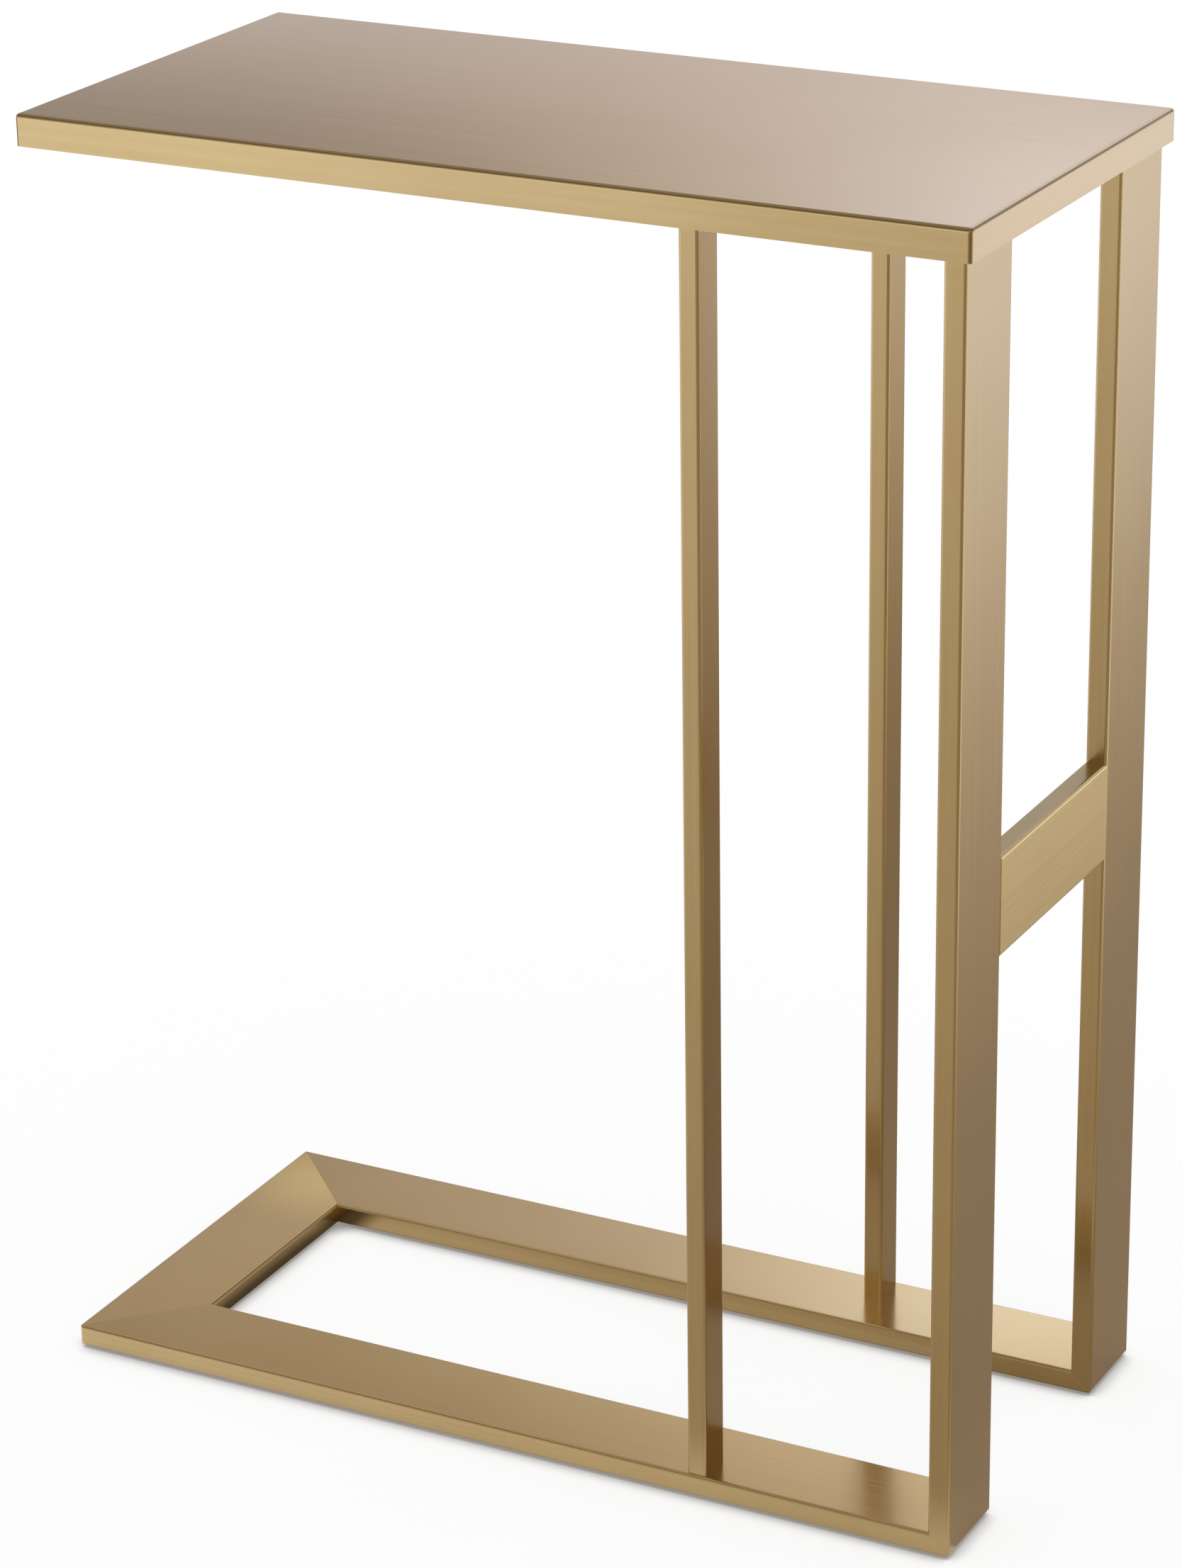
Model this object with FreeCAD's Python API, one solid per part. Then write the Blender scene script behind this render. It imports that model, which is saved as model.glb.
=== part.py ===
import FreeCAD, Part
import math
import os

from FreeCAD import Placement, Rotation, Vector

# C-shaped side table in satin gold metal, to slide over a sofa seat.
# Millimetres. The origin is on the floor under the middle of the table's outline.
# +Z is up, +X runs from the free end to the leg end, -Y is the front.

# Overall sizes
table_height = 650.0
top_length = 484.0
top_depth = 236.0
base_reach = 7.5  # how far the base stands out past the top at the free end
leg_end_inset = 4.0  # leg's outer face, in from the end of the top
frame_side_inset = 4.5  # legs and base, in from the front and back edges of the top

# Top sheet, folded down over the rim on all four sides like the lid of a box
sheet_thickness = 1.5
sheet_bend_radius = 0.5  # on the inside of the folds

# Flat tube of the legs, the crossbar and the base
flat_tube_width = 50.0
flat_tube_thickness = 11.0
ground_corner_radius = 2.4  # outer corners of the mitres, ground round after welding

# Rim tube under the sheet, and slim tube of the posts
rim_width = 30.0
rim_height = 14.0
post_width = 20.0
post_thickness = 10.0
post_to_leg_gap = 117.5
crossbar_middle_height = 317.0

# All the tubes are rolled with one wall and one inside bend radius
tube_wall = 1.2
tube_inside_radius = 0.4
drain_hole_diameter = 5.0
drain_hole_shares = (0.32, 0.68)  # of a tube's length

# Steel plates welded on the legs and posts, screwed up into the rim
plate_thickness = 3.0
post_tongue_width = 14.0
post_tongue_length = 18.0

# Countersunk screws, flush with the plates, and the square nuts welded inside the rim
screw_diameter = 5.0
screw_length = 10.0
screw_clearance = 0.25
screw_head_diameter = 9.8
screw_socket_across_flats = 3.0
screw_socket_depth = 1.9
leg_screw_spacing = 14.0
leg_screw_margin = 7.0  # from the leg's inner edge, so that the screws clear the rim's mitre
nut_across_flats = 8.0
nut_height = 4.0
thread_clearance = 0.1

# Top-hat ribs that keep the sheet from drumming
stiffener_height = 11.0
stiffener_crown_width = 26.0
stiffener_flange_width = 11.0
stiffener_thickness = 1.0
stiffener_shares = (0.3, 0.7)  # of the length between the end rails

# Nylon glides pressed into the base from below
glide_thickness = 1.5
glide_diameter = 18.0
glide_edge_bevel = 0.6
glide_stem_diameter = 7.6
glide_tip_diameter = 6.4
glide_stem_length = 6.5
glide_hole_clearance = 0.2
glide_from_base_side = 15.0
glide_from_base_end = 34.0

# Cuts run past what they cut by this much
cut_overrun = 5.0

# Places worked out from the sizes above
tube_corner_radius = tube_inside_radius + tube_wall
overall_length = top_length + base_reach
top_right = overall_length / 2
top_left = top_right - top_length
base_left = -overall_length / 2
leg_outer = top_right - leg_end_inset
leg_inner = leg_outer - flat_tube_thickness
frame_front = -top_depth / 2 + frame_side_inset
frame_bottom = glide_thickness
base_top = frame_bottom + flat_tube_thickness

rim_front = -top_depth / 2 + sheet_thickness
rim_right = top_right - sheet_thickness
rim_left = top_left + sheet_thickness
rim_top = table_height - sheet_thickness
rim_bottom = rim_top - rim_height
plate_bottom = rim_bottom - plate_thickness

post_right = leg_inner - post_to_leg_gap
post_left = post_right - post_thickness
post_front = frame_front + tube_corner_radius  # stands on the flat of the runner
post_back = post_front + post_width
post_middle_x = (post_left + post_right) / 2

# A turn of a third about the diagonal carries Z to X, X to Y and Y to Z
third_turn = 120
turns_along = {"z": 0, "x": 1, "y": 2}
quarter_turn = 90
full_turn = 360
hexagon_sides = 6


def rounded_wire(size_x, size_y, radius):
    """Rectangle with round corners, centred on the origin in the XY plane."""
    x = size_x / 2 - radius
    y = size_y / 2 - radius
    edges = []
    for quarter, (cx, cy) in enumerate(((x, y), (-x, y), (-x, -y), (x, -y))):
        start = quarter_turn * quarter
        end = start + quarter_turn
        edges.append(Part.makeCircle(radius, Vector(cx, cy, 0), Vector(0, 0, 1), start, end))
    for quarter in range(4):
        end = edges[quarter].lastVertex().Point
        begin = edges[(quarter + 1) % 4].firstVertex().Point
        edges.append(Part.makeLine(end, begin))
    return Part.Wire(Part.__sortEdges__(edges))


def tube(low, high, along):
    """Open-ended rolled tube that fills the box from low to high and runs along one axis."""
    turn = turns_along[along]
    sizes = high - low
    across = sizes[turn % 3]
    over = sizes[(turn + 1) % 3]
    run = sizes[(turn + 2) % 3]
    outer = rounded_wire(across, over, tube_corner_radius)
    inner = rounded_wire(across - 2 * tube_wall, over - 2 * tube_wall, tube_inside_radius)
    ring = Part.Face(outer).cut(Part.Face(inner))
    shape = ring.extrude(Vector(0, 0, run))
    shape.translate(Vector(across / 2, over / 2, 0))
    shape.Placement = Placement(low, Rotation(Vector(1, 1, 1), third_turn * turn)) * shape.Placement
    return shape


def trim(shape, point, normal):
    """Saw the shape along the plane through point and drop the side that normal points to."""
    reach = shape.BoundBox.DiagonalLength + cut_overrun
    block = Part.makeBox(2 * reach, 2 * reach, reach, Vector(-reach, -reach, 0))
    block.Placement = Placement(point, Rotation(Vector(0, 0, 1), normal))
    return shape.cut(block)


def mirrored(shape):
    """The same piece on the other side of the table's middle, front to back."""
    return shape.mirror(Vector(0, 0, 0), Vector(0, 1, 0))


def drilled_up(shape, places, z, diameter, depth):
    """Round holes drilled from below, from the level z up by depth."""
    for place in places:
        start = Vector(place.x, place.y, z - cut_overrun)
        shape = shape.cut(Part.makeCylinder(diameter / 2, depth + cut_overrun, start))
    return shape


def screw_holes(shape, places):
    """Clearance holes up through plate and rim, widened at the foot for the screw heads."""
    hole_radius = screw_diameter / 2 + screw_clearance
    mouth_radius = screw_head_diameter / 2 + screw_clearance
    shape = drilled_up(shape, places, plate_bottom, 2 * hole_radius, plate_thickness + 2 * tube_wall)
    for place in places:
        start = Vector(place.x, place.y, plate_bottom - cut_overrun)
        taper = mouth_radius - hole_radius + cut_overrun
        shape = shape.cut(Part.makeCone(mouth_radius + cut_overrun, hole_radius, taper, start))
    return shape


def drained(shape, z, middle_x, middle_y):
    """Drain holes for the plating bath, through the bottom wall only."""
    box = shape.BoundBox
    places = []
    for share in drain_hole_shares:
        if middle_x is None:
            places.append(Vector(box.XMin + share * box.XLength, middle_y, 0))
        else:
            places.append(Vector(middle_x, box.YMin + share * box.YLength, 0))
    return drilled_up(shape, places, z, drain_hole_diameter, 2 * tube_wall)


def box_between(low, high):
    """Plain block that fills the box from low to high."""
    size = high - low
    return Part.makeBox(size.x, size.y, size.z, low)


# Legs, crossbar and base

def frame_envelope():
    """Block round the legs and base, with the corners that are ground round after welding."""
    low = Vector(base_left, frame_front, frame_bottom)
    high = Vector(leg_outer, -frame_front, plate_bottom)
    block = box_between(low, high)
    ground = []
    for edge in block.Edges:
        box = edge.BoundBox
        upright = box.ZLength > flat_tube_thickness
        lowest = box.ZMax < base_top
        if (upright and box.XMax < top_left) or (lowest and box.XMin > leg_inner):
            ground.append(edge)
    return block.makeFillet(ground_corner_radius, ground)


def glide_places():
    """Three glides under the front runner: near the free end, under the post, near the leg."""
    y = frame_front + glide_from_base_side
    xs = (base_left + glide_from_base_end, post_middle_x, leg_outer - glide_from_base_end)
    return [Vector(x, y, 0) for x in xs]


def leg():
    """Front leg: open at the top under its plate, mitred into the runner at the floor."""
    low = Vector(leg_inner, frame_front, frame_bottom)
    high = Vector(leg_outer, frame_front + flat_tube_width, plate_bottom)
    corner = Vector(leg_outer, frame_front, frame_bottom)
    return trim(tube(low, high, "z"), corner, Vector(-1, 0, -1)).common(frame_envelope())


def runner():
    """Front runner: mitred flat into the left bar, and on edge into the leg."""
    low = Vector(base_left, frame_front, frame_bottom)
    high = Vector(leg_outer, frame_front + flat_tube_width, base_top)
    shape = tube(low, high, "x")
    shape = trim(shape, low, Vector(-1, 1, 0))
    shape = trim(shape, Vector(leg_outer, frame_front, frame_bottom), Vector(1, 0, 1))
    shape = drained(shape, frame_bottom, None, frame_front + flat_tube_width / 2)
    shape = shape.common(frame_envelope())
    hole = glide_stem_diameter + 2 * glide_hole_clearance
    return drilled_up(shape, glide_places(), frame_bottom, hole, 2 * tube_wall)


def left_bar():
    """Bar across the free end of the base, mitred flat at both ends."""
    low = Vector(base_left, frame_front, frame_bottom)
    high = Vector(base_left + flat_tube_width, -frame_front, base_top)
    shape = tube(low, high, "y")
    shape = trim(shape, low, Vector(1, -1, 0))
    shape = trim(shape, Vector(base_left, -frame_front, frame_bottom), Vector(1, 1, 0))
    shape = drained(shape, frame_bottom, base_left + flat_tube_width / 2, None)
    return shape.common(frame_envelope())


def crossbar():
    """Flat tube on edge between the legs, flush with them on both faces."""
    half = flat_tube_width / 2
    low = Vector(leg_inner, frame_front + flat_tube_width, crossbar_middle_height - half)
    high = Vector(leg_outer, -frame_front - flat_tube_width, crossbar_middle_height + half)
    return tube(low, high, "y")


def post():
    """Front post: stands on the runner and ends under its plate."""
    low = Vector(post_left, post_front, base_top)
    high = Vector(post_right, post_back, plate_bottom)
    return tube(low, high, "z")


# Plates on the legs and posts

def slab(low, high, radius):
    """Flat plate from low to high with round corners seen from above."""
    size = high - low
    face = Part.Face(rounded_wire(size.x, size.y, radius))
    shape = face.extrude(Vector(0, 0, size.z))
    shape.translate(Vector((low.x + high.x) / 2, (low.y + high.y) / 2, low.z))
    return shape


def leg_screw_places():
    """Two screws beside the front leg, half way between its inner face and the rim's inner edge."""
    x = (leg_inner + rim_right - rim_width) / 2
    first = frame_front + flat_tube_width - leg_screw_margin
    return [Vector(x, y, 0) for y in (first, first - leg_screw_spacing)]


def post_screw_places():
    """One screw beside the front post, in the middle of its tongue."""
    return [Vector(post_right + post_tongue_length / 2, post_back - post_tongue_width / 2, 0)]


def leg_plate():
    """L-shaped plate: it caps the leg, and its tongue reaches in to the rim's inner edge."""
    inner_edge = frame_front + flat_tube_width
    cap = slab(Vector(leg_inner, frame_front, plate_bottom),
               Vector(leg_outer, inner_edge, rim_bottom), tube_corner_radius)
    tongue_width = leg_screw_spacing + 2 * leg_screw_margin
    tongue = slab(Vector(rim_right - rim_width, inner_edge - tongue_width, plate_bottom),
                  Vector(leg_outer, inner_edge, rim_bottom), tube_corner_radius)
    return screw_holes(cap.fuse(tongue).removeSplitter(), leg_screw_places())


def post_plate():
    """L-shaped plate: it caps the post, and its tongue runs towards the leg, set back out of sight."""
    cap = slab(Vector(post_left, post_front, plate_bottom),
               Vector(post_right, post_back, rim_bottom), tube_corner_radius)
    tongue = slab(Vector(post_left, post_back - post_tongue_width, plate_bottom),
                  Vector(post_right + post_tongue_length, post_back, rim_bottom), tube_corner_radius)
    return screw_holes(cap.fuse(tongue).removeSplitter(), post_screw_places())


# Screws and nuts

def screw(place):
    """Countersunk screw driven up from below: conical head with a hexagon socket."""
    shank_radius = screw_diameter / 2
    head_radius = screw_head_diameter / 2
    head = Part.makeCone(head_radius, shank_radius, head_radius - shank_radius)
    shank = Part.makeCylinder(shank_radius, screw_length)
    half_side = math.pi / hexagon_sides
    corner_radius = screw_socket_across_flats / 2 / math.cos(half_side)
    angles = [2 * half_side * step for step in range(hexagon_sides + 1)]
    start = -cut_overrun
    corners = [Vector(corner_radius * math.cos(a), corner_radius * math.sin(a), start) for a in angles]
    socket = Part.Face(Part.makePolygon(corners)).extrude(Vector(0, 0, screw_socket_depth - start))
    shape = head.fuse(shank).cut(socket)
    shape.translate(Vector(place.x, place.y, plate_bottom))
    return shape


def weld_nut(place):
    """Square nut lying on the inside of the rim's bottom wall."""
    half = nut_across_flats / 2
    shape = Part.makeBox(nut_across_flats, nut_across_flats, nut_height, Vector(-half, -half, 0))
    bore = screw_diameter / 2 + thread_clearance
    shape = shape.cut(Part.makeCylinder(bore, nut_height + 2 * cut_overrun, Vector(0, 0, -cut_overrun)))
    shape.translate(Vector(place.x, place.y, rim_bottom + tube_wall))
    return shape


def both_sides(make, places):
    """A group of like pieces: one at each place, and their mirror images at the back."""
    pieces = [make(place) for place in places]
    return Part.makeCompound(pieces + [mirrored(piece) for piece in pieces])


# Rim, sheet and ribs

def end_rail(left, right):
    """Rim tube across one end of the top, before its mitres."""
    low = Vector(left, rim_front, rim_bottom)
    high = Vector(right, -rim_front, rim_top)
    return tube(low, high, "y")


def right_rail():
    """Rim at the leg end: mitred, drained, drilled for the leg screws."""
    shape = end_rail(rim_right - rim_width, rim_right)
    shape = trim(shape, Vector(rim_right, rim_front, rim_bottom), Vector(-1, -1, 0))
    shape = trim(shape, Vector(rim_right, -rim_front, rim_bottom), Vector(-1, 1, 0))
    shape = drained(shape, rim_bottom, rim_right - rim_width / 2, None)
    places = leg_screw_places()
    back = [Vector(place.x, -place.y, 0) for place in places]
    return screw_holes(shape, places + back)


def left_rail():
    """Rim at the free end: mitred and drained."""
    shape = end_rail(rim_left, rim_left + rim_width)
    shape = trim(shape, Vector(rim_left, rim_front, rim_bottom), Vector(1, -1, 0))
    shape = trim(shape, Vector(rim_left, -rim_front, rim_bottom), Vector(1, 1, 0))
    return drained(shape, rim_bottom, rim_left + rim_width / 2, None)


def side_rail():
    """Rim along the front: mitred at both ends, drained, drilled for the post screw."""
    low = Vector(rim_left, rim_front, rim_bottom)
    high = Vector(rim_right, rim_front + rim_width, rim_top)
    shape = tube(low, high, "x")
    shape = trim(shape, low, Vector(-1, 1, 0))
    shape = trim(shape, Vector(rim_right, rim_front, rim_bottom), Vector(1, 1, 0))
    shape = drained(shape, rim_bottom, None, rim_front + rim_width / 2)
    return screw_holes(shape, post_screw_places())


def sheet():
    """Top sheet: flat, folded down outside the rim, with its corners welded and ground round."""
    middle = (rim_bottom + table_height) / 2
    outer = box_between(Vector(top_left, -top_depth / 2, rim_bottom), Vector(top_right, top_depth / 2, table_height))
    folds = [edge for edge in outer.Edges if edge.BoundBox.ZMax > middle]
    outer = outer.makeFillet(sheet_bend_radius + sheet_thickness, folds)
    inner = box_between(Vector(rim_left, rim_front, rim_bottom - cut_overrun), Vector(rim_right, -rim_front, rim_top))
    folds = [edge for edge in inner.Edges if edge.BoundBox.ZMin > middle]
    return outer.cut(inner.makeFillet(sheet_bend_radius, folds))


def stiffener(share):
    """Top-hat rib bent from strip, from the front rail to the back rail under the sheet."""
    first = rim_left + rim_width
    last = rim_right - rim_width
    middle = first + share * (last - first)
    crown = stiffener_crown_width / 2 - stiffener_thickness
    flange = stiffener_crown_width / 2 + stiffener_flange_width
    high = rim_top - stiffener_thickness
    low = rim_top - stiffener_height
    start = rim_front + rim_width
    profile = ((-flange, high), (-crown, high), (-crown, low), (crown, low), (crown, high), (flange, high))
    path = Part.makePolygon([Vector(middle + x, start, z) for x, z in profile])
    face = path.makeOffset2D(stiffener_thickness, 0, True, True, False)
    return face.extrude(Vector(0, -2 * start, 0))


# Glides

def glide(place):
    """Nylon glide, turned about its axis: flat foot with a bevelled edge, and a tapered stem."""
    foot = glide_diameter / 2
    tip = glide_thickness + glide_stem_length
    flat = foot - glide_edge_bevel
    stem = glide_stem_diameter / 2
    half_section = ((0, 0), (flat, 0), (foot, glide_edge_bevel), (foot, glide_thickness),
                    (stem, glide_thickness), (glide_tip_diameter / 2, tip), (0, tip), (0, 0))
    outline = Part.makePolygon([Vector(radius, 0, z) for radius, z in half_section])
    shape = Part.Face(outline).revolve(Vector(0, 0, 0), Vector(0, 0, 1), full_turn)
    shape.translate(place)
    return shape


def named_pieces():
    """Every piece of the table by name."""
    front = {
        "leg": leg(),
        "leg_plate": leg_plate(),
        "post": post(),
        "post_plate": post_plate(),
    }
    pieces = {}
    for name, shape in front.items():
        pieces["front_" + name] = shape
        pieces["back_" + name] = mirrored(shape)
    pieces["base_front_runner"] = runner()
    pieces["base_back_runner"] = mirrored(runner())
    pieces["base_left_bar"] = left_bar()
    pieces["leg_crossbar"] = crossbar()
    pieces["rim_front_rail"] = side_rail()
    pieces["rim_back_rail"] = mirrored(side_rail())
    pieces["rim_left_rail"] = left_rail()
    pieces["rim_right_rail"] = right_rail()
    pieces["top_sheet"] = sheet()
    for name, share in zip(("left", "right"), stiffener_shares):
        pieces[name + "_sheet_stiffener"] = stiffener(share)
    pieces["leg_plate_screws"] = both_sides(screw, leg_screw_places())
    pieces["post_plate_screws"] = both_sides(screw, post_screw_places())
    pieces["leg_weld_nuts"] = both_sides(weld_nut, leg_screw_places())
    pieces["post_weld_nuts"] = both_sides(weld_nut, post_screw_places())
    for name, place in zip(("end", "post", "leg"), glide_places()):
        pieces["front_" + name + "_glide"] = glide(place)
        pieces["back_" + name + "_glide"] = mirrored(glide(place))
    return pieces


os.makedirs("parts", exist_ok=True)
for name, shape in named_pieces().items():
    shape.exportStep("parts/" + name + ".step")
    print(name, "valid" if shape.isValid() else "NOT VALID", len(shape.Solids), round(shape.Volume, 1))
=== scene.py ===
import bpy
import math
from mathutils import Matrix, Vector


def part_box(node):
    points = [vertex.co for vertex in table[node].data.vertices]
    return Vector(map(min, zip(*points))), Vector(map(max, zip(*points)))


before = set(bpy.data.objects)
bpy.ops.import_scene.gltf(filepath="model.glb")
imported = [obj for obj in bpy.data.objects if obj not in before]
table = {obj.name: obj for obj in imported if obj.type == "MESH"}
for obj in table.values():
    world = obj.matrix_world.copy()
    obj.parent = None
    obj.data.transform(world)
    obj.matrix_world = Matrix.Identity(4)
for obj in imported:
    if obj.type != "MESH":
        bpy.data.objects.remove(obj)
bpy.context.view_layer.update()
print("frame loaded:", len(table), "pieces")

mm = 0.001


# Small helpers for shader trees

def addNode(tree, kind, inputs=None, **settings):
    made = tree.nodes.new(kind)
    for name, value in settings.items():
        setattr(made, name, value)
    for socket, value in (inputs or {}).items():
        if isinstance(value, bpy.types.NodeSocket):
            tree.links.new(value, made.inputs[socket])
        else:
            made.inputs[socket].default_value = value
    return made


def mathNode(tree, operation, first, second=0.0):
    return addNode(tree, "ShaderNodeMath", {0: first, 1: second}, operation=operation).outputs[0]


def product(tree, first, second):
    return mathNode(tree, "MULTIPLY", first, second)


def vectorNode(tree, operation, first, second=(0, 0, 0)):
    made = addNode(tree, "ShaderNodeVectorMath", {0: first, 1: second}, operation=operation)
    return made.outputs["Value" if operation in ("DOT_PRODUCT", "LENGTH") else "Vector"]


def partAlong(tree, vector, axis):
    return addNode(tree, "ShaderNodeSeparateXYZ", {0: vector}).outputs[axis.upper()]


def rangeNode(tree, value, low, high, atLow=0.0, atHigh=1.0, smooth=False):
    kind = "SMOOTHSTEP" if smooth else "LINEAR"
    inputs = {"Value": value, "From Min": low, "From Max": high, "To Min": atLow, "To Max": atHigh}
    return addNode(tree, "ShaderNodeMapRange", inputs, interpolation_type=kind).outputs["Result"]


def noiseNode(tree, place, size, detail):
    inputs = {"Vector": place, "Scale": 1 / size, "Detail": detail}
    return addNode(tree, "ShaderNodeTexNoise", inputs).outputs[0]


def bumpNode(tree, height, depth, **inputs):
    return addNode(tree, "ShaderNodeBump", {"Height": height, "Distance": depth, **inputs}).outputs[0]


def blendNode(tree, share, first, second):
    return addNode(tree, "ShaderNodeMix", {0: share, 2: first, 3: second}).outputs[0]


def mixColour(tree, share, first, second):
    inputs = {0: share, 6: first, 7: second}
    return addNode(tree, "ShaderNodeMix", inputs, data_type="RGBA").outputs[2]


def newTree(name):
    material = bpy.data.materials.new(name)
    material.use_nodes = True
    material.node_tree.nodes.clear()
    return material, material.node_tree


def newMaterial(name):
    material, tree = newTree(name)
    shader = addNode(tree, "ShaderNodeBsdfPrincipled")
    addNode(tree, "ShaderNodeOutputMaterial", {"Surface": shader.outputs[0]})
    return material, tree, shader


def middle(name, axis):
    lowest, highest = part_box(name)
    return (lowest["xyz".index(axis)] + highest["xyz".index(axis)]) / 2


# Satin gold: plating brushed along each tube, under thin clear lacquer
frameGold = {
    "colour": (0.515, 0.36, 0.148, 1),
    "deepColour": (0.475, 0.325, 0.126, 1),
    "cloudSize": 90 * mm,
    "toneRange": (0.7, 1.3),  # clouds and streaks together, from the deep colour to the other
    "wornColour": (0.57, 0.42, 0.20, 1),
    "wornShare": 0.4,
    "wornPatch": 14 * mm,
    "wornRange": (0.45, 0.62),
    "edgeWidth": 0.6 * mm,
    "edgeTurn": (0.995, 0.93),  # how far a rounded edge leans from its face, as cosines
    # painted shade on the rounded folds and corners
    "foldTint": (0.66, 0.63, 0.58, 1),
    "cornerTint": (1, 1, 1, 1),
    "foldRise": (0.05, 0.15),
    "grazingTint": (1.0, 0.95, 0.93, 1),
    "roughness": 0.24,
    "roughnessSpread": 0.025,
    "mottleRange": (0.6, 1.4),
    "anisotropy": 0.6,
    "grainTurn": 0.25,  # a quarter turn: the light spreads across the scratches
    "lacquer": 0.4,
    "lacquerRoughness": 0.08,
    "scratchWidth": 0.12 * mm,
    "scratchLength": 25 * mm,
    "scratchDepth": 0.0012 * mm,
    "streakWidth": 1.8 * mm,
    "streakLength": 260 * mm,
    "crownRadius": 2.8,
}

# The folded top is polished finer, with darker painted shade on its folds and upright corners
sheetGold = dict(frameGold, lacquer=0.5, roughness=0.14, roughnessSpread=0.015, anisotropy=0.3)
sheetGold.update(streakWidth=3 * mm, wornShare=0.15)
sheetGold.update(foldTint=(0.39, 0.355, 0.31, 1), cornerTint=(0.64, 0.58, 0.50, 1))

# A crown says across which axis the broad faces swell, and where their middle is
legGold = dict(frameGold, crown=("y", middle("back_leg", "y")))

# The posts' broad faces and the crossbar's top and bottom are tinted darker: painted shade, for the dark
# things they mirror
postGold = dict(frameGold, crown=("y", middle("back_post", "y")), faceTints={"x": (0.77, 0.69, 0.46)})
# The crossbar is a lighter copy of the gold: a painted highlight, for the brighter light its crosswise grain
# catches
crossbarGold = dict(frameGold, colour=(0.85, 0.655, 0.28, 1), deepColour=(0.80, 0.605, 0.25, 1))
crossbarGold.update(crown=("z", middle("leg_crossbar", "z")), faceTints={"z": (0.33, 0.30, 0.24)})

# The base is smoother than the legs, and a painted highlight makes its back runner paler about its post
runnerGold = dict(frameGold, colour=(0.538, 0.376, 0.155, 1), deepColour=(0.497, 0.34, 0.132, 1))
runnerGold.update(roughness=0.21, anisotropy=0.4, crown=("y", middle("base_back_runner", "y")))
backRunnerGold = dict(runnerGold)
backRunnerGold["lightPatch"] = {
    "centre": (middle("back_post", "x") + 42 * mm, middle("base_back_runner", "y")),
    "reach": 200 * mm,
    "tint": (1.27, 1.37, 1.65),
}

# A painted highlight makes the left bar brighter beside its back mitre
leftBarGold = dict(frameGold, colour=(0.555, 0.39, 0.165, 1), deepColour=(0.51, 0.35, 0.14, 1))
leftBarGold.update(roughness=0.2, anisotropy=0.4, crown=("x", middle("base_left_bar", "x")))
leftBarGold["lightPatch"] = {
    "centre": (middle("base_left_bar", "x"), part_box("base_left_bar")[1][1] - 28 * mm),
    "reach": 60 * mm,
    "tint": (1.42, 1.5, 1.3),
}

grainAxes = {"x": (1, 0, 0), "y": (0, 1, 0), "z": (0, 0, 1)}
faceCosines = (0.90, 0.97)  # a face counts as square to an axis from the first of these to the second


def facesAlong(tree, facing, axis):
    # 1 on the faces that look along an axis, 0 elsewhere
    return rangeNode(tree, mathNode(tree, "ABSOLUTE", partAlong(tree, facing, axis)), *faceCosines)


def stretchedNoise(tree, place, axis, across, along, detail):
    scale = [1 / along if part else 1 / across for part in grainAxes[axis]]
    return noiseNode(tree, vectorNode(tree, "MULTIPLY", place, scale), 1, detail)


def grainPattern(tree, place, axis, look):
    scratches = stretchedNoise(tree, place, axis, look["scratchWidth"], look["scratchLength"], 3)
    streaks = stretchedNoise(tree, place, axis, look["streakWidth"], look["streakLength"], 2)
    return scratches, streaks


def brushedGrain(tree, place, facing, axis, endAxis, look):
    # the scratches, the wider streaks and the way that both run
    scratches, streaks = grainPattern(tree, place, axis, look)
    direction = addNode(tree, "ShaderNodeCombineXYZ", dict(zip("XYZ", grainAxes[axis]))).outputs[0]
    if endAxis:
        # on the folds at the two ends the grain runs the other way
        onEnd = mathNode(tree, "GREATER_THAN", facesAlong(tree, facing, axis), 0.5)
        endScratches, endStreaks = grainPattern(tree, place, endAxis, look)
        scratches = blendNode(tree, onEnd, scratches, endScratches)
        streaks = blendNode(tree, onEnd, streaks, endStreaks)
        direction = mixColour(tree, onEnd, (*grainAxes[axis], 1), (*grainAxes[endAxis], 1))
    return scratches, streaks, direction


def wornEdges(tree, place, facing, body, look):
    # a little brighter here and there where the corners turn
    rounded = addNode(tree, "ShaderNodeBevel", {"Radius": look["edgeWidth"]}, samples=4).outputs[0]
    leaning = vectorNode(tree, "DOT_PRODUCT", rounded, facing)
    turning = rangeNode(tree, leaning, *look["edgeTurn"], 0.0, look["wornShare"])
    patches = rangeNode(tree, noiseNode(tree, place, look["wornPatch"], 3), *look["wornRange"])
    return mixColour(tree, product(tree, turning, patches), body, look["wornColour"])


def deeperFaces(tree, facing, body, look):
    # painted shade: the faces square to an axis are tinted darker
    for side, tint in look.get("faceTints", {}).items():
        tintedBody = vectorNode(tree, "MULTIPLY", body, tint)
        body = mixColour(tree, facesAlong(tree, facing, side), body, tintedBody)
    return body


def deeperFolds(tree, facing, body, look):
    # painted shade on the rounded edges: one tint for the edges that face up or down, and one for the
    # upright corners
    flat = facesAlong(tree, facing, "x")
    for side in "yz":
        flat = mathNode(tree, "MAXIMUM", flat, facesAlong(tree, facing, side))
    rise = mathNode(tree, "ABSOLUTE", partAlong(tree, facing, "z"))
    onFold = rangeNode(tree, rise, *look["foldRise"])
    tint = mixColour(tree, onFold, look["cornerTint"], look["foldTint"])
    return mixColour(tree, flat, vectorNode(tree, "MULTIPLY", body, tint), body)


def lightPatch(tree, place, facing, body, patch):
    # painted highlight: lighter on the faces that look up or down, about one place of the base
    aside = vectorNode(tree, "SUBTRACT", place, (*patch["centre"], 0))
    level = vectorNode(tree, "MULTIPLY", aside, (1, 1, 0))
    near = rangeNode(tree, vectorNode(tree, "LENGTH", level), patch["reach"], 0.0, smooth=True)
    near = product(tree, near, facesAlong(tree, facing, "z"))
    return mixColour(tree, near, body, vectorNode(tree, "MULTIPLY", body, patch["tint"]))


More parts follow.
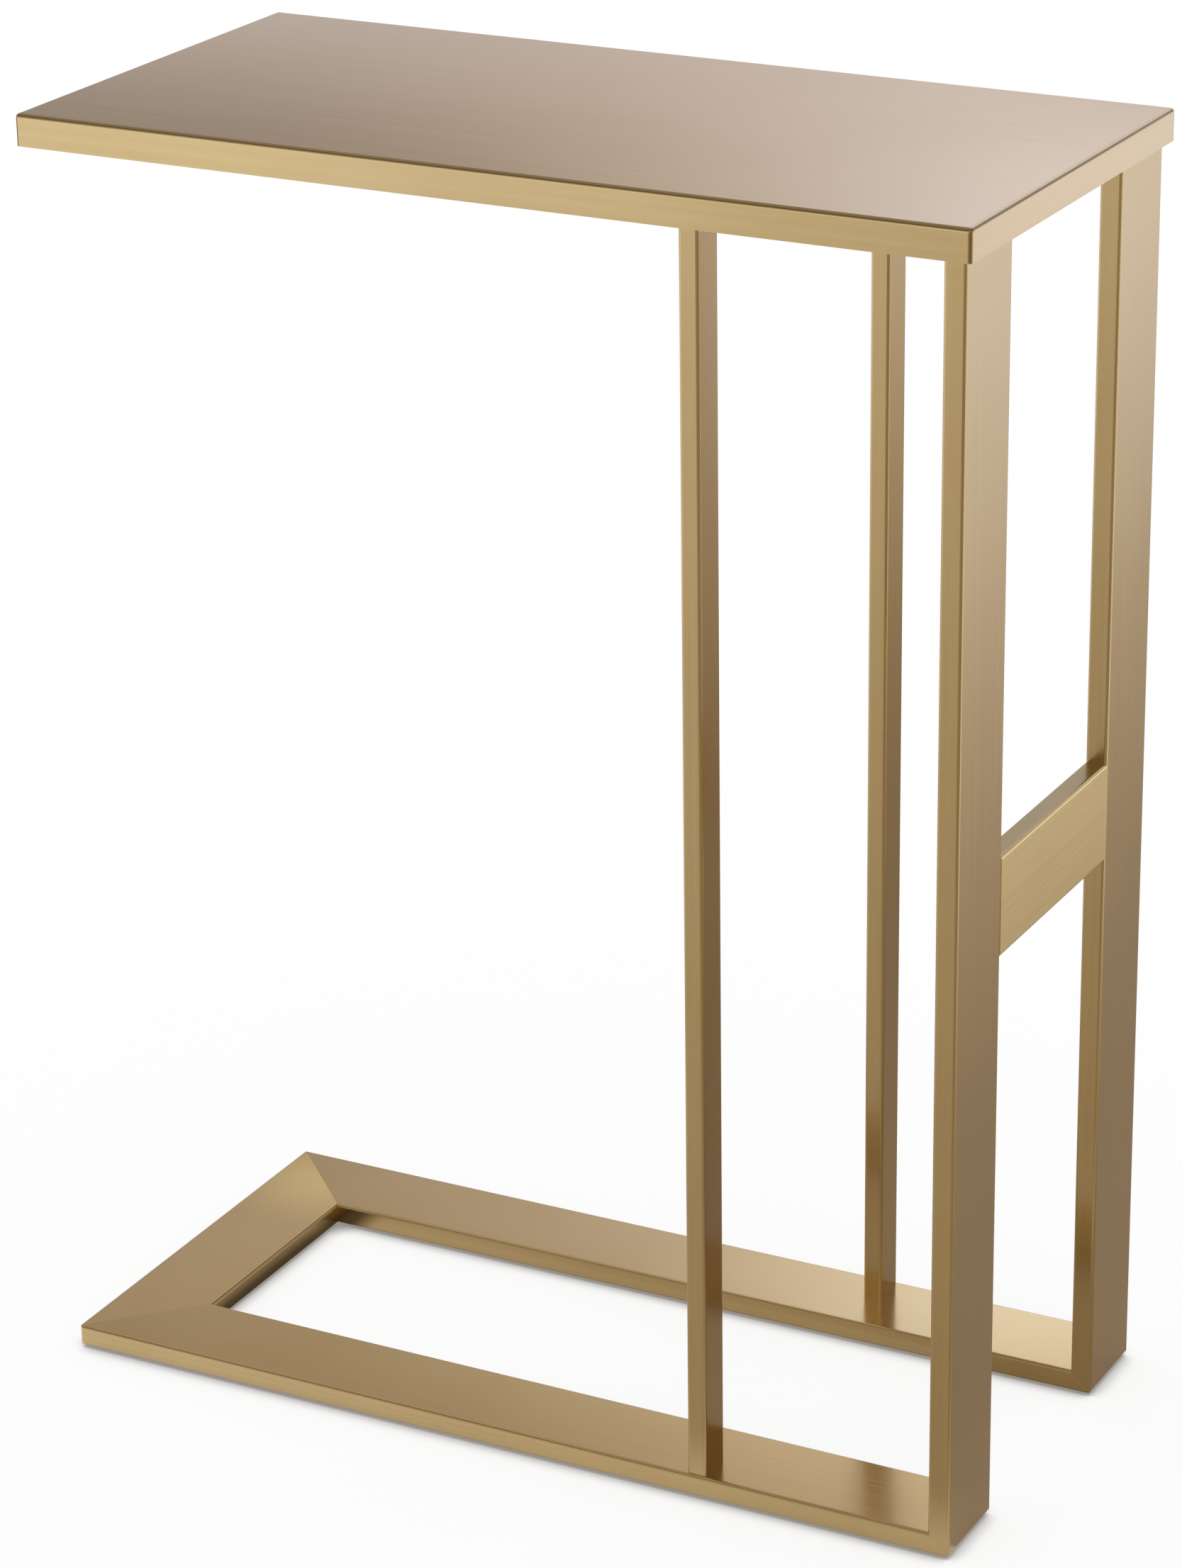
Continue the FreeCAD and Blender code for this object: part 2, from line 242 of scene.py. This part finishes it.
def platingColour(tree, place, facing, streaks, look):
    clouds = noiseNode(tree, place, look["cloudSize"], 2)
    tone = rangeNode(tree, mathNode(tree, "ADD", clouds, streaks), *look["toneRange"])
    body = mixColour(tree, tone, look["deepColour"], look["colour"])
    body = wornEdges(tree, place, facing, body, look)
    body = deeperFaces(tree, facing, body, look)
    body = deeperFolds(tree, facing, body, look)
    if "lightPatch" in look:
        body = lightPatch(tree, place, facing, body, look["lightPatch"])
    return body


def crownedNormal(tree, place, facing, look):
    # flat tube is never quite flat: its broad faces swell a little along the middle
    axis, centre = look["crown"]
    across = partAlong(tree, place, axis)
    offset = mathNode(tree, "SUBTRACT", mathNode(tree, "ABSOLUTE", across), abs(centre))
    lean = mathNode(tree, "DIVIDE", offset, look["crownRadius"])
    lean = product(tree, lean, mathNode(tree, "SIGN", across))
    leaning = addNode(tree, "ShaderNodeCombineXYZ", {axis.upper(): lean}).outputs[0]
    return vectorNode(tree, "NORMALIZE", vectorNode(tree, "ADD", facing, leaning))


def brushedGold(name, axis, look, endAxis=None):
    material, tree, shader = newMaterial(name)
    place = addNode(tree, "ShaderNodeTexCoord").outputs["Object"]
    facing = addNode(tree, "ShaderNodeNewGeometry").outputs["Normal"]
    scratches, streaks, direction = brushedGrain(tree, place, facing, axis, endAxis, look)
    body = platingColour(tree, place, facing, streaks, look)
    spread = look["roughnessSpread"]
    levels = (look["roughness"] - spread, look["roughness"] + spread)
    mottle = mathNode(tree, "ADD", scratches, streaks)
    roughness = rangeNode(tree, mottle, *look["mottleRange"], *levels)
    swell = {"Normal": crownedNormal(tree, place, facing, look)} if "crown" in look else {}
    relief = bumpNode(tree, scratches, look["scratchDepth"], Strength=1.0, **swell)
    tree.links.new(body, shader.inputs["Base Color"])
    tree.links.new(roughness, shader.inputs["Roughness"])
    tree.links.new(relief, shader.inputs["Normal"])
    tree.links.new(direction, shader.inputs["Tangent"])
    shader.inputs["Metallic"].default_value = 1.0
    shader.inputs["Specular Tint"].default_value = look["grazingTint"]
    shader.inputs["Anisotropic"].default_value = look["anisotropy"]
    shader.inputs["Anisotropic Rotation"].default_value = look["grainTurn"]
    shader.inputs["Coat Weight"].default_value = look["lacquer"]
    shader.inputs["Coat Roughness"].default_value = look["lacquerRoughness"]
    return material


goldAlong = {axis: brushedGold("satinGold" + axis.upper(), axis, frameGold) for axis in "xy"}
goldSheet = brushedGold("goldSheet", "x", sheetGold, endAxis="y")
goldLeg = brushedGold("legGold", "z", legGold)
goldPost = brushedGold("postGold", "z", postGold)
goldRunner = brushedGold("runnerGold", "x", runnerGold)
goldBackRunner = brushedGold("backRunnerGold", "x", backRunnerGold)
goldLeftBar = brushedGold("leftBarGold", "y", leftBarGold)
goldCrossbar = brushedGold("crossbarGold", "y", crossbarGold)
print("gold mixed")


# Screws and nuts: bright zinc plating with its fine spangle and a bluish cast
zincPlate = {
    "colour": (0.62, 0.64, 0.66, 1),
    "dullColour": (0.44, 0.45, 0.46, 1),
    "dullRange": (0.4, 0.65),
    "blueColour": (0.50, 0.55, 0.64, 1),
    "blueRange": (0.5, 1.0, 0.0, 0.5),  # of the flakes, and how blue they are
    "spangleSize": 0.7 * mm,
    "cloudSize": 3 * mm,
    "roughness": (0.22, 0.42),
    "grainDepth": 0.004 * mm,
}


def zincPlated():
    material, tree, shader = newMaterial("zincPlatedSteel")
    place = addNode(tree, "ShaderNodeTexCoord").outputs["Object"]
    cells = {"Vector": place, "Scale": 1 / zincPlate["spangleSize"]}
    spangle = addNode(tree, "ShaderNodeTexVoronoi", cells).outputs["Color"]
    flake = addNode(tree, "ShaderNodeSeparateColor", {0: spangle}).outputs[0]
    clouds = noiseNode(tree, place, zincPlate["cloudSize"], 4)
    dull = rangeNode(tree, clouds, *zincPlate["dullRange"])
    body = mixColour(tree, dull, zincPlate["colour"], zincPlate["dullColour"])
    body = mixColour(tree, rangeNode(tree, flake, *zincPlate["blueRange"]), body, zincPlate["blueColour"])
    roughness = rangeNode(tree, flake, 0.0, 1.0, *zincPlate["roughness"])
    relief = bumpNode(tree, clouds, zincPlate["grainDepth"], Strength=1.0)
    tree.links.new(body, shader.inputs["Base Color"])
    tree.links.new(roughness, shader.inputs["Roughness"])
    tree.links.new(relief, shader.inputs["Normal"])
    shader.inputs["Metallic"].default_value = 1.0
    return material


# Glides: black nylon, matt from the mould, scuffed grey where the foot rubs the floor
glideNylon = {
    "colour": (0.022, 0.021, 0.020, 1),
    "scuffColour": (0.11, 0.105, 0.10, 1),
    "scuffSize": 2.5 * mm,
    "scuffRange": (0.45, 0.65),
    "scuffHeight": 0.7 * mm,
    "textureSize": 0.35 * mm,
    "textureDepth": 0.02 * mm,
    "textureStrength": 0.6,
    "roughness": (0.3, 0.7, 0.42, 0.62),  # of the texture, and how rough it is there
}


def mouldedNylon():
    material, tree, shader = newMaterial("darkNylon")
    place = addNode(tree, "ShaderNodeTexCoord").outputs["Object"]
    texture = noiseNode(tree, place, glideNylon["textureSize"], 2)
    scuffs = rangeNode(tree, noiseNode(tree, place, glideNylon["scuffSize"], 5), *glideNylon["scuffRange"])
    low = rangeNode(tree, partAlong(tree, place, "z"), glideNylon["scuffHeight"], 0.0)
    body = mixColour(tree, product(tree, low, scuffs), glideNylon["colour"], glideNylon["scuffColour"])
    roughness = rangeNode(tree, texture, *glideNylon["roughness"])
    relief = bumpNode(tree, texture, glideNylon["textureDepth"], Strength=glideNylon["textureStrength"])
    tree.links.new(body, shader.inputs["Base Color"])
    tree.links.new(roughness, shader.inputs["Roughness"])
    tree.links.new(relief, shader.inputs["Normal"])
    return material


def dress(names, material):
    for name in names:
        for slot in table[name].material_slots:
            slot.material = material


dress(("front_leg", "back_leg"), goldLeg)
dress(("front_post", "back_post"), goldPost)
dress(("rim_front_rail", "rim_back_rail"), goldAlong["x"])
dress(("rim_left_rail", "rim_right_rail"), goldAlong["y"])
dress(("base_front_runner",), goldRunner)
dress(("base_back_runner",), goldBackRunner)
dress(("base_left_bar",), goldLeftBar)
dress(("leg_crossbar",), goldCrossbar)
dress(("left_sheet_stiffener", "right_sheet_stiffener"), goldAlong["y"])
dress(("front_leg_plate", "back_leg_plate", "front_post_plate", "back_post_plate"), goldAlong["x"])
dress(("top_sheet",), goldSheet)
dress([name for name in table if name.endswith(("_screws", "_nuts"))], zincPlated())
dress([name for name in table if name.endswith("_glide")], mouldedNylon())
print("frame dressed")


# The camera sees a plain white studio. Only the metal mirrors the glows below, on the floor and round
# about, and they turn from warm where they are dim to cool where they are bright
mirrorTint = {
    "dim": (1.03, 0.935, 0.85, 1),
    "bright": (0.955, 1.02, 1.22, 1),
    "range": (0.45, 1.15),
}


def tinted(tree, glow):
    share = rangeNode(tree, glow, *mirrorTint["range"])
    tint = mixColour(tree, share, mirrorTint["dim"], mirrorTint["bright"])
    even = addNode(tree, "ShaderNodeCombineXYZ", {0: glow, 1: glow, 2: glow}).outputs[0]
    return vectorNode(tree, "MULTIPLY", tint, even)


def rayIs(tree, *kinds):
    path = addNode(tree, "ShaderNodeLightPath")
    total = path.outputs[kinds[0]]
    for kind in kinds[1:]:
        total = mathNode(tree, "MAXIMUM", total, path.outputs[kind])
    return total


# Floor: white paper. A glow or shade is given by two places across or along the floor, in metres, and
# by how strong it is at each; one with two numbers goes from nothing to full
floorPaper = {
    "size": 40.0,
    "shadow": 0.2,
    "litInMetal": 0.4,
    "contactReach": 14 * mm,
    "contactRange": (0.85, 0.25),
    "contactShade": (0.35, 0.33, 0.30, 1),
    "leftGlow": (0.3, -1.7, 0.5, 1.42),
    "rightGlow": (0.4, 1.2, -0.09, 0.8),
    "rightStart": (-0.1, -0.03),
    "frontGlow": (-0.17, -0.13, 0.0, 0.35),
    "frontEdge": -0.1,
    "baseGlow": (0.04, 0.052, 0.0, 0.2),
    "baseGlowReach": 0.18,
    "baseHalfDepth": 0.07,
    "barStrip": -0.2,
    "barShade": (-0.190, -0.178, 0.2, 1.0),
    "rightShade": (0.26, 0.36, 0.0, 0.12),
    "rightShadeStart": (-0.05, -0.2),
    "farShade": (-1.9, -2.4, 0.0, 0.7),
    "farShadeSpan": (1.6, 1.1),
}


def sideGlows(tree, across, along):
    left = rangeNode(tree, across, *floorPaper["leftGlow"])
    right = rangeNode(tree, across, *floorPaper["rightGlow"], smooth=True)
    right = product(tree, right, rangeNode(tree, along, *floorPaper["rightStart"], smooth=True))
    return mathNode(tree, "ADD", left, right)


def nearGlows(tree, across, along, besideBase):
    # in front of the table, and inside the base before the back runner
    front = rangeNode(tree, along, *floorPaper["frontGlow"])
    front = product(tree, front, mathNode(tree, "LESS_THAN", along, floorPaper["frontEdge"]))
    inside = rangeNode(tree, along, *floorPaper["baseGlow"])
    within = mathNode(tree, "LESS_THAN", across, floorPaper["baseGlowReach"])
    within = product(tree, within, mathNode(tree, "SUBTRACT", 1.0, besideBase))
    return mathNode(tree, "ADD", front, product(tree, inside, within))


def barShade(tree, across, besideBase):
    # the left bar shades the strip beside it, inside the base
    shade = rangeNode(tree, across, *floorPaper["barShade"])
    beyondBar = mathNode(tree, "LESS_THAN", across, floorPaper["barStrip"])
    return mathNode(tree, "MAXIMUM", shade, mathNode(tree, "MAXIMUM", besideBase, beyondBar))


def farShades(tree, across, along, aside):
    # dim to the right of the table's front, and far off to the left
    right = rangeNode(tree, across, *floorPaper["rightShade"], smooth=True)
    right = product(tree, right, rangeNode(tree, along, *floorPaper["rightShadeStart"], smooth=True))
    far = rangeNode(tree, across, *floorPaper["farShade"], smooth=True)
    far = product(tree, far, rangeNode(tree, aside, *floorPaper["farShadeSpan"]))
    return mathNode(tree, "SUBTRACT", 1.0, mathNode(tree, "MAXIMUM", right, far))


def floorGlow(tree, place):
    across, along = partAlong(tree, place, "x"), partAlong(tree, place, "y")
    aside = mathNode(tree, "ABSOLUTE", along)
    besideBase = mathNode(tree, "GREATER_THAN", aside, floorPaper["baseHalfDepth"])
    near = nearGlows(tree, across, along, besideBase)
    glow = mathNode(tree, "ADD", sideGlows(tree, across, along), near)
    glow = product(tree, glow, barShade(tree, across, besideBase))
    return product(tree, glow, farShades(tree, across, along, aside))


def paperSurface():
    material, tree = newTree("floorPaper")
    geometry = addNode(tree, "ShaderNodeNewGeometry")
    mirrored = tinted(tree, floorGlow(tree, geometry.outputs["Position"]))
    seenByCamera, seenInMetal = rayIs(tree, "Is Camera Ray"), rayIs(tree, "Is Glossy Ray")
    # a painted contact shadow: a narrow dark line where the base all but touches the floor
    contact = {"Distance": floorPaper["contactReach"]}
    openness = addNode(tree, "ShaderNodeAmbientOcclusion", contact, samples=8).outputs["AO"]
    shut = rangeNode(tree, openness, *floorPaper["contactRange"], smooth=True)
    white = mixColour(tree, shut, (1, 1, 1, 1), floorPaper["contactShade"])
    colour = mixColour(tree, seenInMetal, white, mirrored)
    # the floor glows a little to the camera and in the metal, so its shadow stays soft
    lit = blendNode(tree, seenInMetal, 1 - floorPaper["shadow"], floorPaper["litInMetal"])
    lit = product(tree, lit, mathNode(tree, "MAXIMUM", seenByCamera, seenInMetal))
    shade = addNode(tree, "ShaderNodeBsdfDiffuse", {"Color": colour}).outputs[0]
    glow = addNode(tree, "ShaderNodeEmission", {"Color": colour, "Strength": 1.0}).outputs[0]
    paper = {0: mathNode(tree, "SUBTRACT", 1.0, lit), 1: glow, 2: shade}
    above = addNode(tree, "ShaderNodeMixShader", paper).outputs[0]
    # from below the floor is clear glass, so that the underside can be looked at
    glass = addNode(tree, "ShaderNodeBsdfTransparent").outputs[0]
    sides = {0: geometry.outputs["Backfacing"], 1: above, 2: glass}
    surface = addNode(tree, "ShaderNodeMixShader", sides).outputs[0]
    addNode(tree, "ShaderNodeOutputMaterial", {"Surface": surface})
    return material


def makeFloor():
    half = floorPaper["size"] / 2
    corners = [(-half, -half, 0), (half, -half, 0), (half, half, 0), (-half, half, 0)]
    mesh = bpy.data.meshes.new("floor")
    mesh.from_pydata(corners, [], [(0, 1, 2, 3)])
    floor = bpy.data.objects.new("floor", mesh)
    bpy.context.collection.objects.link(floor)
    floor.data.materials.append(paperSurface())


# Surround: soft boxes round the table, with one overhead, a flag and a gap between them. Turns and
# widths are in degrees, and a rise is the sine of the angle over the horizon
surround = {
    "boxes": ((6, 16, 1.0), (100, 40, 0.35), (205, 24, 0.55), (262, 40, 0.35)),  # turn, half width, strength
    "boxSoftness": 12,
    "boxFalloff": 2.3,
    "boxTop": (0.75, 0.5),
    "lowGlow": (0.24, 1.42),  # between the boxes, and on them
    "highGlow": (0.6, 1.4),
    "highStart": (0.28, 0.42),
    "highFall": (0.43, 0.505, 1.56, 0.70),
    "flagTurn": -32,
    "flagWidths": (16, 24),
    "flagShade": 0.6,
    "gapTurn": 22,
    "gapWidths": (14, 26),
    "gapRise": 0.36,
    "gapFade": (0.065, 0.04),
    "gapShade": 0.6,
    "overheadGlow": 0.95,
    "overheadRise": (0.64, 0.82),
    "hazeGlow": (0.95, 0.74),
    "hazeEdge": (0.283, 0.307),
    "hazeSlant": 0.13,
    "horizonGlow": 0.95,
    "horizonRise": (0.2, 0.05),
}


def headingVector(turn):
    # a level direction, counted in degrees from the back towards the left
    return (-math.sin(math.radians(turn)), math.cos(math.radians(turn)), 0)


def wedge(tree, level, turn, halfWidths):
    # 1 towards one heading, falling to 0 between two half widths
    aside = vectorNode(tree, "DOT_PRODUCT", level, headingVector(turn))
    inner, outer = (math.cos(math.radians(width)) for width in halfWidths)
    return rangeNode(tree, aside, outer, inner)


def softBoxes(tree, level, rise):
    boxes = 0.0
    for turn, halfWidth, strength in surround["boxes"]:
        box = wedge(tree, level, turn, (halfWidth, halfWidth + surround["boxSoftness"]))
        box = mathNode(tree, "POWER", box, surround["boxFalloff"])
        boxes = mathNode(tree, "MAXIMUM", product(tree, box, strength), boxes)
    return product(tree, boxes, rangeNode(tree, rise, *surround["boxTop"], smooth=True))


def highGlow(tree, level, rise, boxes):
    # the upper part of the boxes, which a dark flag hides at the back right
    high = rangeNode(tree, boxes, 0.0, 1.0, *surround["highGlow"])
    high = product(tree, high, rangeNode(tree, rise, *surround["highFall"]))
    flag = wedge(tree, level, surround["flagTurn"], surround["flagWidths"])
    return product(tree, high, rangeNode(tree, flag, 0.0, 1.0, 1.0, surround["flagShade"]))


def darkGap(tree, level, rise):
    # between the box behind and the one above it
    offset = mathNode(tree, "ABSOLUTE", mathNode(tree, "SUBTRACT", rise, surround["gapRise"]))
    gap = rangeNode(tree, offset, *surround["gapFade"], 0.0, surround["gapShade"], smooth=True)
    gap = product(tree, gap, wedge(tree, level, surround["gapTurn"], surround["gapWidths"]))
    return mathNode(tree, "SUBTRACT", 1.0, gap)


def lowHaze(tree, level, rise, boxes, glow):
    # low down the surround is even and bright
    slant = product(tree, partAlong(tree, level, "x"), surround["hazeSlant"])
    clear = rangeNode(tree, mathNode(tree, "SUBTRACT", rise, slant), *surround["hazeEdge"])
    glow = blendNode(tree, clear, rangeNode(tree, boxes, 0.0, 1.0, *surround["hazeGlow"]), glow)
    horizon = rangeNode(tree, rise, *surround["horizonRise"], 0.0, surround["horizonGlow"], smooth=True)
    return mathNode(tree, "MAXIMUM", glow, horizon)


def makeSurround():
    world = bpy.data.worlds.new("studio")
    bpy.context.scene.world = world
    world.use_nodes = True
    tree = world.node_tree
    tree.nodes.clear()
    heading = addNode(tree, "ShaderNodeTexCoord").outputs["Generated"]
    level = vectorNode(tree, "NORMALIZE", vectorNode(tree, "MULTIPLY", heading, (1, 1, 0)))
    rise = partAlong(tree, heading, "z")
    boxes = softBoxes(tree, level, rise)
    low = rangeNode(tree, boxes, 0.0, 1.0, *surround["lowGlow"])
    lift = rangeNode(tree, rise, *surround["highStart"], smooth=True)
    glow = blendNode(tree, lift, low, highGlow(tree, level, rise, boxes))
    glow = product(tree, glow, darkGap(tree, level, rise))
    overhead = rangeNode(tree, rise, *surround["overheadRise"], 0.0, surround["overheadGlow"], smooth=True)
    glow = mathNode(tree, "MAXIMUM", glow, overhead)
    glow = lowHaze(tree, level, rise, boxes, glow)
    colour = mixColour(tree, rayIs(tree, "Is Glossy Ray"), (1, 1, 1, 1), tinted(tree, glow))
    background = addNode(tree, "ShaderNodeBackground", {"Color": colour, "Strength": 1.0})
    addNode(tree, "ShaderNodeOutputWorld", {"Surface": background.outputs[0]})


makeFloor()
makeSurround()
print("studio set up")


# Camera, at the photograph's angle
camera = {
    "place": (1.03042, -1.94609, 1.18851),
    "turn": (68.3817, 0.5233, 26.8621),
    "lens": 111.15,
    "sensorWidth": 36,
    "shift": (-0.0452, -0.0036),
}


def makeCamera():
    data = bpy.data.cameras.new("photoCamera")
    data.lens = camera["lens"]
    data.sensor_width = camera["sensorWidth"]
    data.shift_x, data.shift_y = camera["shift"]
    viewer = bpy.data.objects.new("photoCamera", data)
    viewer.location = camera["place"]
    viewer.rotation_euler = [math.radians(angle) for angle in camera["turn"]]
    bpy.context.collection.objects.link(viewer)
    bpy.context.scene.camera = viewer


makeCamera()
bpy.context.scene.view_settings.view_transform = "Standard"

bpy.context.view_layer.update()
